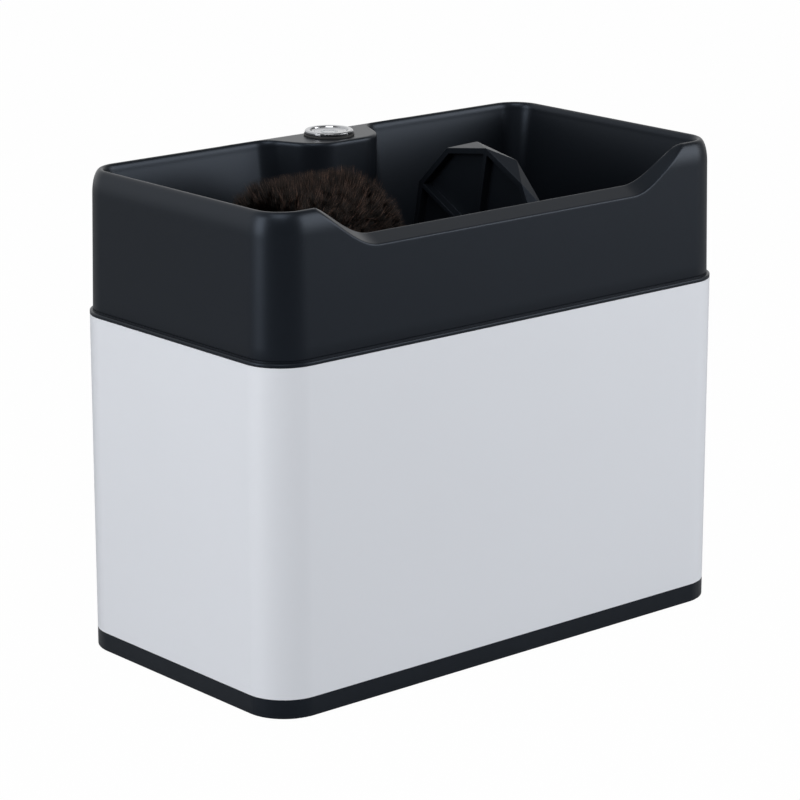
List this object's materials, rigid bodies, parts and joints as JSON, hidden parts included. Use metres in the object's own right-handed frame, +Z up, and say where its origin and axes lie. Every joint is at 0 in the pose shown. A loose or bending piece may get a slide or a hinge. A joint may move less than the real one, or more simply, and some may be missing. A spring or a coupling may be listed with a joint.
{
  "type": "electric shoe brushing machine",
  "caption": "Floor-standing shoe brushing machine: white steel body, black collar with a scooped front lip, driven horsehair brush and many-sided wheel in a well, push button.",
  "frame": {"origin": "centre of the standing face, on the floor plane under the feet", "axes": "+Z up, +X along the long side to the right as seen from the front, -Y towards the front with the scooped lip"},
  "size_m": [0.38, 0.2034, 0.3157],
  "materials": {
    "white_powder_coat": "satin powder coat",
    "black_abs": "fine-textured moulded ABS",
    "black_rubber": "moulded rubber",
    "zinc_steel": "zinc plated",
    "ground_steel": "ground",
    "black_casting": "painted casting",
    "motor_aluminium": "die cast",
    "motor_enamel": "enamel",
    "lamination_steel": "stacked laminations",
    "copper_winding": "enamelled copper wire",
    "brass_parts": "turned",
    "black_nylon": "moulded nylon",
    "green_laminate": "solder-masked laminate",
    "polished_steel": "polished stainless steel",
    "clear_ring": "clear moulding",
    "beech": "turned beech",
    "horsehair": "cut horsehair"
  },
  "bodies": {
    "casing": {"plinth_tray": "black_abs", "rubber_feet": "black_rubber", "foot_screws": "zinc_steel", "tie_rods": "zinc_steel", "tie_rod_screws": "zinc_steel", "body_sleeve": "white_powder_coat", "collar": "black_abs", "brush_well": "black_abs", "collar_screws": "zinc_steel", "support_plate": "zinc_steel", "bearing_pedestal": "black_casting", "bearing_cap": "black_abs", "pedestal_screws": "zinc_steel", "bearing_outer_rings": "ground_steel", "bearing_balls": "ground_steel", "drive_belt": "black_rubber", "motor_can": "motor_enamel", "motor_front_shield": "motor_aluminium", "motor_rear_shield": "motor_aluminium", "motor_bushes": "brass_parts", "motor_stator": "lamination_steel", "motor_windings": "copper_winding", "motor_cradle": "zinc_steel", "motor_straps": "zinc_steel", "motor_dampers": "black_rubber", "motor_mount_screws": "zinc_steel", "run_capacitor": "motor_aluminium", "capacitor_clip": "zinc_steel", "board_standoffs": "black_nylon", "board_screws": "zinc_steel", "control_board": "green_laminate", "power_relay": "black_nylon", "board_transformer": "black_nylon", "terminal_block": "black_nylon", "power_inlet": "black_nylon", "inlet_pins": "brass_parts", "inlet_screws": "zinc_steel", "button_gasket": "black_rubber", "button_bezel": "polished_steel", "button_spring": "zinc_steel", "button_nut": "zinc_steel", "switch_block": "black_nylon"},
    "brush_drive": {"brush_shaft": "ground_steel", "shaft_spacers": "ground_steel", "shaft_clips": "zinc_steel", "shaft_pulley": "motor_aluminium", "bearing_inner_rings": "ground_steel", "brush_core": "beech", "brush_bristles": "horsehair", "brush_clamp_plates": "zinc_steel", "wheel_shell": "black_abs", "wheel_hub": "motor_aluminium", "shaft_washers": "zinc_steel", "shaft_nuts": "zinc_steel"},
    "motor_rotor": {"rotor_core": "lamination_steel", "rotor_shaft": "ground_steel", "motor_pulley": "motor_aluminium", "motor_fan": "black_nylon"},
    "power_button": {"button_cap": "polished_steel", "button_light_ring": "clear_ring"}
  },
  "joints": [
    {"name": "shaft_spin", "type": "hinge", "parent": "casing", "child": "brush_drive", "pos_m": [0, 0, 0.2473], "axis": [1, 0, 0], "continuous": true},
    {"name": "motor_spin", "type": "hinge", "parent": "casing", "child": "motor_rotor", "pos_m": [0, 0, 0.0745], "axis": [1, 0, 0], "continuous": true},
    {"name": "button_press", "type": "slide", "parent": "casing", "child": "power_button", "axis": [0, 0, -1], "range_m": [0, 0.0015], "stiffness_N_per_m": 900, "springref_m": -0.001, "deforming": ["button_spring"]}
  ],
  "couplings": [
    {"joint": "motor_spin", "follows": "shaft_spin", "ratio": 1.3371}
  ]
}
